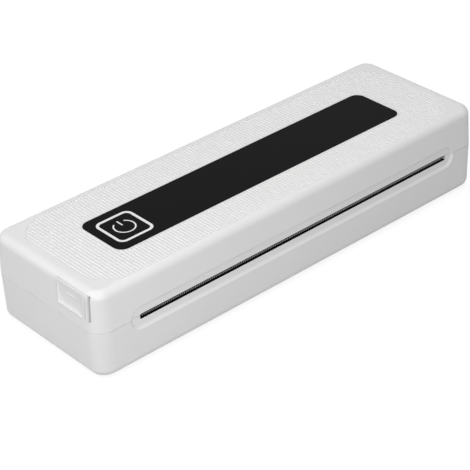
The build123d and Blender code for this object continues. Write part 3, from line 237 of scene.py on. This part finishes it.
def makeHeadStrip():
    material = headCeramic.copy()
    material.name = "thickFilmHeadStrip"
    tree = material.node_tree
    shader = next(node for node in tree.nodes if node.type == "BSDF_PRINCIPLED")
    colour = shader.inputs["Base Color"].links[0].from_node
    low, high = nodeBox("head_ceramic")
    middle = (low[1] + high[1]) / 2
    place = addNode(tree, "ShaderNodeTexCoord")
    axes = addNode(tree, "ShaderNodeSeparateXYZ", None, {"Vector": (place, "Object")})
    glaze, line = (
        addNode(
            tree, "ShaderNodeMath",
            {"operation": "COMPARE", 1: middle * mm, 2: headBands[half] * mm}, {0: (axes, "Y")})
        for half in ("glazeHalf", "lineHalf"))
    behind = addNode(
        tree, "ShaderNodeMath", {"operation": "GREATER_THAN", 1: (middle + headBands["goldFrom"]) * mm},
        {0: (axes, "Y")})
    # real conductors are 0.125 mm apart, drawn four times coarser so that they show
    stripes = addNode(
        tree, "ShaderNodeTexWave",
        {"wave_type": "BANDS", "bands_direction": "X", "Scale": wavePeriod / (headBands["goldPitch"] * mm)},
        {"Vector": (place, "Object")})
    gold = addNode(
        tree, "ShaderNodeMath", {"operation": "MULTIPLY"}, {0: (behind, "Value"), 1: (stripes, "Fac")})
    for mask, tone in ((glaze, "glaze"), (line, "line"), (gold, "gold")):
        mix = addNode(tree, "ShaderNodeMix", {"data_type": "RGBA"}, {"Factor": (mask, "Value")})
        tree.links.new(colour.outputs["Result"], mix.inputs[mixFirst])
        mix.inputs[mixSecond].default_value = toLinear(headBands[tone])
        colour = mix
    tree.links.new(colour.outputs["Result"], shader.inputs["Base Color"])
    return material


dress(["head_ceramic"], makeHeadStrip())

# moulded nylon, dyed black: a dull sheen with a faint mottle
blackNylon = makeSurface("mouldedNylonBlack", {
    "colour": "#1d1e20", "shade": "#27282a", "patchMm": 6, "roughness": (0.45, 0.6),
    "grainMm": 0.3, "grainHeightMm": 0.008, "grainStrength": 0.4, "shader": {"IOR": 1.5}})
dress(
    ["driver_cover", "board_chips", "ribbon_socket", "key_switch", "switch_plunger", "paper_sensor"],
    blackNylon)

# moulded nylon of the guide in the slot: black and matt, and darker than the other black nylon; the extra
# darkness is painted shade, so the slot reads dark
guideNylonPaintedShade = makeSurface("deepBlackNylonPaintedShade", {
    "colour": "#09090a", "shade": "#0c0c0d", "patchMm": 6, "roughness": (0.6, 0.75),
    "grainMm": 0.3, "grainHeightMm": 0.008, "grainStrength": 0.4,
    "shader": {"IOR": 1.5, "Specular IOR Level": 0.1}})
dress(["paper_guide"], guideNylonPaintedShade)

# sintered bronze: dull, porous
sinteredBronze = makeSurface("sinteredBronze", {
    "colour": "#a8844a", "shade": "#8a6a38", "patchMm": 1.5, "roughness": (0.42, 0.6),
    "grainMm": 0.12, "grainHeightMm": 0.01, "grainStrength": 0.7, "shader": {"Metallic": 1.0}})
dress(["platen_bearings", "motor_pinion"], sinteredBronze)

# glass-epoxy boards under green solder mask, faintly uneven from the weave below
boardEpoxy = makeSurface("glassEpoxyGreen", {
    "colour": "#1f5a36", "shade": "#17492b", "patchMm": 2.5, "roughness": (0.3, 0.42),
    "grainMm": 0.6, "grainHeightMm": 0.004, "grainStrength": 0.5, "shader": {"IOR": 1.5}})
dress(["main_board", "charge_board", "key_board"], boardEpoxy)

# shrink-wrapped battery pack: a soft shine with slow waves in the film
batteryWrap = makeSurface("pvcShrinkWrapBlue", {
    "colour": "#2c4f96", "shade": "#264586", "patchMm": 14, "roughness": (0.25, 0.4),
    "grainMm": 6, "grainHeightMm": 0.12, "grainStrength": 0.4, "shader": {"IOR": 1.53}})
dress(["battery_pack"], batteryWrap)

# PVC insulation of the battery lead: smooth, half glossy
leadPvc = makeSurface("wireInsulationRed", {
    "colour": "#a32420", "shade": "#8f1d1a", "patchMm": 3, "roughness": (0.4, 0.5),
    "grainMm": 0.4, "grainHeightMm": 0.004, "grainStrength": 0.3, "shader": {"IOR": 1.53}})
dress(["battery_lead"], leadPvc)

# polyimide film cable: amber, satin
ribbonFilm = makeSurface("polyimideFilm", {
    "colour": "#c87f2c", "shade": "#b56f22", "patchMm": 4, "roughness": (0.28, 0.38),
    "grainMm": 0.5, "grainHeightMm": 0.003, "grainStrength": 0.3, "stretch": (3, 0.3, 0.3),
    "shader": {"IOR": 1.6}})
dress(["head_ribbon"], ribbonFilm)

print("stage: pieces")


# turns a bmesh into an object that moves with a body and may stand for a node
def finishPiece(bm, name, body, material, replaced=None, smoothDegrees=40):
    bmesh.ops.recalc_face_normals(bm, faces=bm.faces)
    data = bpy.data.meshes.new(name)
    bm.to_mesh(data)
    bm.free()
    data.polygons.foreach_set("use_smooth", [True] * len(data.polygons))
    data.set_sharp_from_angle(angle=math.radians(smoothDegrees))
    data.materials.append(material)
    piece = bpy.data.objects.new(name, data)
    scene.collection.objects.link(piece)
    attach(piece, body)
    if replaced:
        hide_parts(replaced)
    return piece


def movedVerts(made):
    return [item for item in made["geom"] if isinstance(item, bmesh.types.BMVert)]


# a box with rounded edges between two corners, in mm
def addBlock(bm, low, high, rounding=0.0):
    made = bmesh.ops.create_cube(bm, size=1.0)
    size = [(b - a) * mm for a, b in zip(low, high)]
    middle = [(a + b) / 2 * mm for a, b in zip(low, high)]
    bmesh.ops.scale(bm, vec=size, verts=made["verts"])
    bmesh.ops.translate(bm, vec=middle, verts=made["verts"])
    if rounding:
        edges = list(dict.fromkeys(edge for vert in made["verts"] for edge in vert.link_edges))
        bmesh.ops.bevel(
            bm, geom=edges, offset=rounding * mm, segments=2, profile=0.5, affect="EDGES", material=-1,
            clamp_overlap=True)


# a closed outline in Y and Z, in mm, drawn out along X
def addProfile(bm, outline, ends):
    verts = [bm.verts.new((ends[0] * mm, y * mm, z * mm)) for y, z in outline]
    face = bm.faces.new(verts)
    made = bmesh.ops.extrude_face_region(bm, geom=[face], use_keep_orig=True)
    bmesh.ops.translate(bm, vec=((ends[1] - ends[0]) * mm, 0, 0), verts=movedVerts(made))


# tear bar, in mm: a steel strip in the plane of its node, whose teeth lean forward under the cover's lip
# and end lower than the node does; heights are above the tips
tearBar = {
    "teeth": 176, "pitch": 1.225, "thickness": 0.4, "tipDrop": 0.5, "foldHeight": 1.75, "rootHeight": 0.85,
    "rootLean": 0.35, "tipLean": 0.55, "toothShare": 0.6, "shoulder": 0.02, "sharpDegrees": 20}


def makeTearBar():
    bm = bmesh.new()
    low, high = nodeBox("tear_bar")
    plane = (low[1] + high[1]) / 2
    tipZ = low[2] - tearBar["tipDrop"]
    rootZ = tipZ + tearBar["rootHeight"]
    pitch = tearBar["pitch"] * mm
    left = (low[0] + high[0]) / 2 * mm - tearBar["teeth"] * pitch / 2
    profile = (
        (plane, high[2]), (plane, tipZ + tearBar["foldHeight"]), (plane - tearBar["rootLean"], rootZ))
    chain = [bm.verts.new((left, y * mm, z * mm)) for y, z in profile]
    edges = [bm.edges.new(pair) for pair in zip(chain, chain[1:])]
    made = bmesh.ops.extrude_edge_only(bm, edges=edges)
    bmesh.ops.translate(bm, verts=movedVerts(made), vec=(pitch, 0, 0))
    bm.edges.ensure_lookup_table()
    lowest = [
        edge for edge in bm.edges if all(abs(v.co.z - chain[-1].co.z) < mergeDistance for v in edge.verts)]
    made = bmesh.ops.extrude_edge_only(bm, edges=lowest)
    narrow = movedVerts(made)
    for vert in narrow:
        vert.co.x = left + pitch / 2 + (vert.co.x - left - pitch / 2) * tearBar["toothShare"]
        vert.co.z -= tearBar["shoulder"] * mm
    base = [edge for edge in bm.edges if all(vert in narrow for vert in edge.verts)]
    made = bmesh.ops.extrude_edge_only(bm, edges=base)
    tip = (left + pitch / 2, (plane - tearBar["tipLean"]) * mm, tipZ * mm)
    bmesh.ops.pointmerge(bm, verts=movedVerts(made), merge_co=tip)
    cell = bm.verts[:] + bm.edges[:] + bm.faces[:]
    for index in range(1, tearBar["teeth"]):
        copy = bmesh.ops.duplicate(bm, geom=cell)
        bmesh.ops.translate(bm, verts=movedVerts(copy), vec=(pitch * index, 0, 0))
    bmesh.ops.remove_doubles(bm, verts=bm.verts, dist=mergeDistance)
    piece = finishPiece(
        bm, "toothedTearBar", "cover", tearStripPaintedShade, "tear_bar", tearBar["sharpDegrees"])
    piece.data.materials.append(toothPaintedHighlight)
    # the teeth below their roots take the lighter steel (painted highlight), the strip above them the
    # near-black steel (painted shade)
    for face in piece.data.polygons:
        face.material_index = 1 if face.center.z < rootZ * mm else 0
    sheet = piece.modifiers.new("sheet", "SOLIDIFY")
    sheet.thickness = tearBar["thickness"] * mm
    sheet.offset = 0.0


makeTearBar()

# paper guide, in mm: a nylon channel hooked behind the base's lip, its nose laid over the lip
paperGuide = {
    "flange": 1.0, "hookSet": 2.45, "hookWall": 1.0, "noseReach": 0.32, "noseGap": 0.01, "noseTop": 0.12,
    "edge": 0.05}


def makePaperGuide():
    bm = bmesh.new()
    (left, front, hookLow), (right, back, face) = nodeBox("paper_guide")
    under = face - paperGuide["flange"]
    hookFront = front + paperGuide["hookSet"]
    hookBack = hookFront + paperGuide["hookWall"]
    nose = front - paperGuide["noseReach"]
    noseUnder = face + paperGuide["noseGap"]
    top = face + paperGuide["noseTop"]
    outline = [
        (front, under), (hookFront, under), (hookFront, hookLow), (hookBack, hookLow), (hookBack, under),
        (back, under), (back, top), (nose, top), (nose, noseUnder), (front, noseUnder)]
    addProfile(bm, outline, (left, right))
    along = [edge for edge in bm.edges if abs(edge.verts[0].co.x - edge.verts[1].co.x) > mergeDistance]
    bmesh.ops.bevel(
        bm, geom=along, offset=paperGuide["edge"] * mm, segments=2, profile=0.5, affect="EDGES", material=-1)
    finishPiece(bm, "nosedPaperGuide", "base", guideNylonPaintedShade, "paper_guide")


makePaperGuide()

# small parts soldered round the chips, in mm from the board's front left corner: a row is its start in
# X and Y, its count and its pitch, a coil its corner, side and height, a chip its middle and half its side
boardParts = {
    "passive": (1.6, 0.8, 0.7), "bodyShare": 0.95, "cap": 0.35, "capOver": 0.03, "capEdge": 0.06,
    "rows": [(14.0, 6.7, 16, 2.4), (14.0, 3.5, 16, 2.4), (56.5, 25.7, 6, 2.4), (4.0, 7.7, 3, 2.6)],
    "coils": [(59.5, 10.2, 5.0, 2.0), (66.0, 10.2, 5.0, 2.0), (59.5, 17.2, 4.0, 1.8)], "coilEdge": 0.5,
    "chips": [(18.0, 15.0, 4.5), (33.84, 15.0, 3.5), (49.68, 15.0, 2.5)],
    "legPitch": 1.27, "leg": (0.4, 0.9, 0.25), "legEdge": 0.05}


def addPassive(bodies, ends, x, y, low):
    length, width, height = boardParts["passive"]
    cap = boardParts["cap"]
    over = boardParts["capOver"]
    top = low + height * boardParts["bodyShare"]
    addBlock(bodies, (x + cap, y, low), (x + length - cap, y + width, top))
    for side in (x, x + length - cap):
        addBlock(
            ends, (side, y - over, low), (side + cap, y + width + over, low + height), boardParts["capEdge"])


# a row of legs on both long sides of a chip
def addLegs(ends, middleX, middleY, half, low):
    length, width, height = boardParts["leg"]
    count = int(2 * half / boardParts["legPitch"])
    for index in range(count):
        x = middleX + (index - (count - 1) / 2) * boardParts["legPitch"] - length / 2
        for y in (middleY - half - width, middleY + half):
            addBlock(ends, (x, y, low), (x + length, y + width, low + height), boardParts["legEdge"])


def makeBoardParts():
    bodies = bmesh.new()
    ends = bmesh.new()
    coils = bmesh.new()
    corner, highCorner = nodeBox("main_board")
    left, front = corner[:2]
    low = highCorner[2]
    for x, y, count, pitch in boardParts["rows"]:
        for index in range(count):
            addPassive(bodies, ends, left + x + index * pitch, front + y, low)
    for x, y, half in boardParts["chips"]:
        addLegs(ends, left + x, front + y, half, low)
    for x, y, side, height in boardParts["coils"]:
        near = (left + x, front + y, low)
        addBlock(coils, near, (near[0] + side, near[1] + side, low + height), boardParts["coilEdge"])
    finishPiece(bodies, "boardPassives", "base", headCeramic)
    finishPiece(ends, "boardSolderEnds", "base", turnedSteel)
    finishPiece(coils, "boardCoils", "base", blackNylon)


makeBoardParts()

# motor's rear cap of black nylon with two tinned tabs, in mm
motorCap = {
    "reach": 0.8, "pressedIn": 0.4, "axis": (-9.1, 12.7), "radius": 7.6, "segments": 48, "edge": 0.3,
    "hubRadius": 2.6, "hubReach": 0.8, "sunk": 0.1,
    "tabs": (-13.2, -5.0), "tabReach": 1.9, "tabHalf": (1.1, 0.2), "tabEdge": 0.08}


def makeMotorCap():
    bm = bmesh.new()
    canEnd = nodeBox("drive_motor")[0][0]
    back = canEnd - motorCap["reach"]
    y, z = motorCap["axis"]
    turn = Matrix.Rotation(math.radians(90), 4, "Y")
    discs = (
        (motorCap["radius"], back, canEnd + motorCap["pressedIn"]),
        (motorCap["hubRadius"], back - motorCap["hubReach"], back + motorCap["sunk"]))
    for radius, near, far in discs:
        place = Matrix.Translation(((near + far) / 2 * mm, y * mm, z * mm)) @ turn
        made = bmesh.ops.create_cone(
            bm, cap_ends=True, segments=motorCap["segments"], radius1=radius * mm, radius2=radius * mm,
            depth=(far - near) * mm, matrix=place)
        faces = dict.fromkeys(face for vert in made["verts"] for face in vert.link_faces)
        rim = [edge for face in faces if len(face.verts) == motorCap["segments"] for edge in face.edges]
        bmesh.ops.bevel(
            bm, geom=rim, offset=motorCap["edge"] * mm, segments=2, profile=0.5, affect="EDGES", material=-1)
    finishPiece(bm, "motorRearCap", "base", blackNylon)
    tabs = bmesh.new()
    halfWide, halfHigh = motorCap["tabHalf"]
    for tabY in motorCap["tabs"]:
        addBlock(
            tabs, (back - motorCap["tabReach"], tabY - halfWide, z - halfHigh),
            (back + motorCap["sunk"], tabY + halfWide, z + halfHigh), motorCap["tabEdge"])
    finishPiece(tabs, "motorTabs", "base", turnedSteel)


makeMotorCap()


def makeHeadSprings():
    source = nodes["head_springs"]
    bm = bmesh.new()
    bm.from_mesh(source.data)
    bm.transform(source.matrix_world)
    bmesh.ops.remove_doubles(bm, verts=bm.verts, dist=mergeDistance)
    piece = finishPiece(bm, "headSpringWire", "base", turnedSteel, "head_springs")
    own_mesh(piece)


makeHeadSprings()

print("stage: floor")
# light that the floor throws on the printer comes from "paper"; what is seen or mirrored is a glow
# and a share of "seenPaper", which keeps the shadow
floorSizes = {"reach": 6.0, "paper": "#a8a8a8", "seenPaper": "#f4f4f4", "shadowShare": 0.3, "glow": 0.82}


# 1 for rays that show the background as it is: straight, mirrored or through clear material
def addSeenRays(tree):
    path = addNode(tree, "ShaderNodeLightPath")
    mirrored = addNode(
        tree, "ShaderNodeMath", {"operation": "MAXIMUM"},
        {0: (path, "Is Camera Ray"), 1: (path, "Is Glossy Ray")})
    return addNode(
        tree, "ShaderNodeMath", {"operation": "MAXIMUM"},
        {0: (mirrored, "Value"), 1: (path, "Is Transmission Ray")})


def makeFloor():
    data = bpy.data.meshes.new("studioFloor")
    bm = bmesh.new()
    bmesh.ops.create_grid(bm, x_segments=1, y_segments=1, size=floorSizes["reach"])
    bm.to_mesh(data)
    bm.free()
    floor = bpy.data.objects.new("studioFloor", data)
    scene.collection.objects.link(floor)
    material = bpy.data.materials.new("studioPaper")
    material.use_nodes = True
    tree = material.node_tree
    tree.nodes.clear()
    white = toLinear(floorSizes["seenPaper"])
    paper = addNode(tree, "ShaderNodeBsdfDiffuse", {"Color": toLinear(floorSizes["paper"])})
    faint = addNode(
        tree, "ShaderNodeBsdfDiffuse", {"Color": [v * floorSizes["shadowShare"] for v in white[:3]] + [1.0]})
    glow = addNode(tree, "ShaderNodeEmission", {"Color": (1, 1, 1, 1), "Strength": floorSizes["glow"]})
    seen = addNode(tree, "ShaderNodeAddShader", None, {0: (faint, "BSDF"), 1: (glow, "Emission")})
    mix = addNode(
        tree, "ShaderNodeMixShader", None,
        {0: (addSeenRays(tree), "Value"), 1: (paper, "BSDF"), 2: (seen, "Shader")})
    addNode(tree, "ShaderNodeOutputMaterial", None, {"Surface": (mix, "Shader")})
    data.materials.append(material)


makeFloor()

print("stage: light")
lights = {
    "world": 0.305, "aim": (0, 0, 0.03),
    "overhead": {"place": (0, -0.1, 1.3), "size": 1.2, "watts": 6.87},
    "leftRear": {"place": (-0.9, 0.3, 0.5), "size": 0.6, "watts": 2.68},
    "frontLow": {"place": (-0.35, -0.5, 0.22), "size": 0.35, "watts": 1.49}}


def makeWorld():
    world = bpy.data.worlds.new("studioSurround")
    world.use_nodes = True
    tree = world.node_tree
    tree.nodes.clear()
    ambient = addNode(tree, "ShaderNodeBackground", {"Color": (1, 1, 1, 1), "Strength": lights["world"]})
    white = addNode(tree, "ShaderNodeBackground", {"Color": (1, 1, 1, 1), "Strength": 1.0})
    mix = addNode(
        tree, "ShaderNodeMixShader", None,
        {0: (addSeenRays(tree), "Value"), 1: (ambient, "Background"), 2: (white, "Background")})
    addNode(tree, "ShaderNodeOutputWorld", None, {"Surface": (mix, "Shader")})
    scene.world = world


def makeLamp(name):
    settings = lights[name]
    data = bpy.data.lights.new(name, "AREA")
    data.size = settings["size"]
    data.energy = settings["watts"]
    lamp = bpy.data.objects.new(name, data)
    scene.collection.objects.link(lamp)
    place = Vector(settings["place"])
    aim = Vector(lights["aim"]) - place
    lamp.matrix_world = Matrix.Translation(place) @ aim.to_track_quat("-Z", "Y").to_matrix().to_4x4()


makeWorld()
for lampName in ("overhead", "leftRear", "frontLow"):
    makeLamp(lampName)

print("stage: camera")
# fitted to the edges of the photograph; angles in degrees, lens and sensor in mm, the rest in metres
camera = {
    "place": (-0.52346, -0.60908, 0.51386), "turn": -40.232, "tilt": 32.263, "roll": 2.723,
    "lens": 134.52, "sensor": 36, "near": 0.05, "far": 30}


def makeCamera():
    data = bpy.data.cameras.new("camera")
    data.sensor_width = camera["sensor"]
    data.lens = camera["lens"]
    data.clip_start = camera["near"]
    data.clip_end = camera["far"]
    view = bpy.data.objects.new("camera", data)
    scene.collection.objects.link(view)
    turn = Euler((math.radians(90 - camera["tilt"]), 0, math.radians(camera["turn"]))).to_matrix().to_4x4()
    roll = Matrix.Rotation(math.radians(-camera["roll"]), 4, "Z")
    view.matrix_world = Matrix.Translation(camera["place"]) @ turn @ roll
    scene.camera = view


makeCamera()
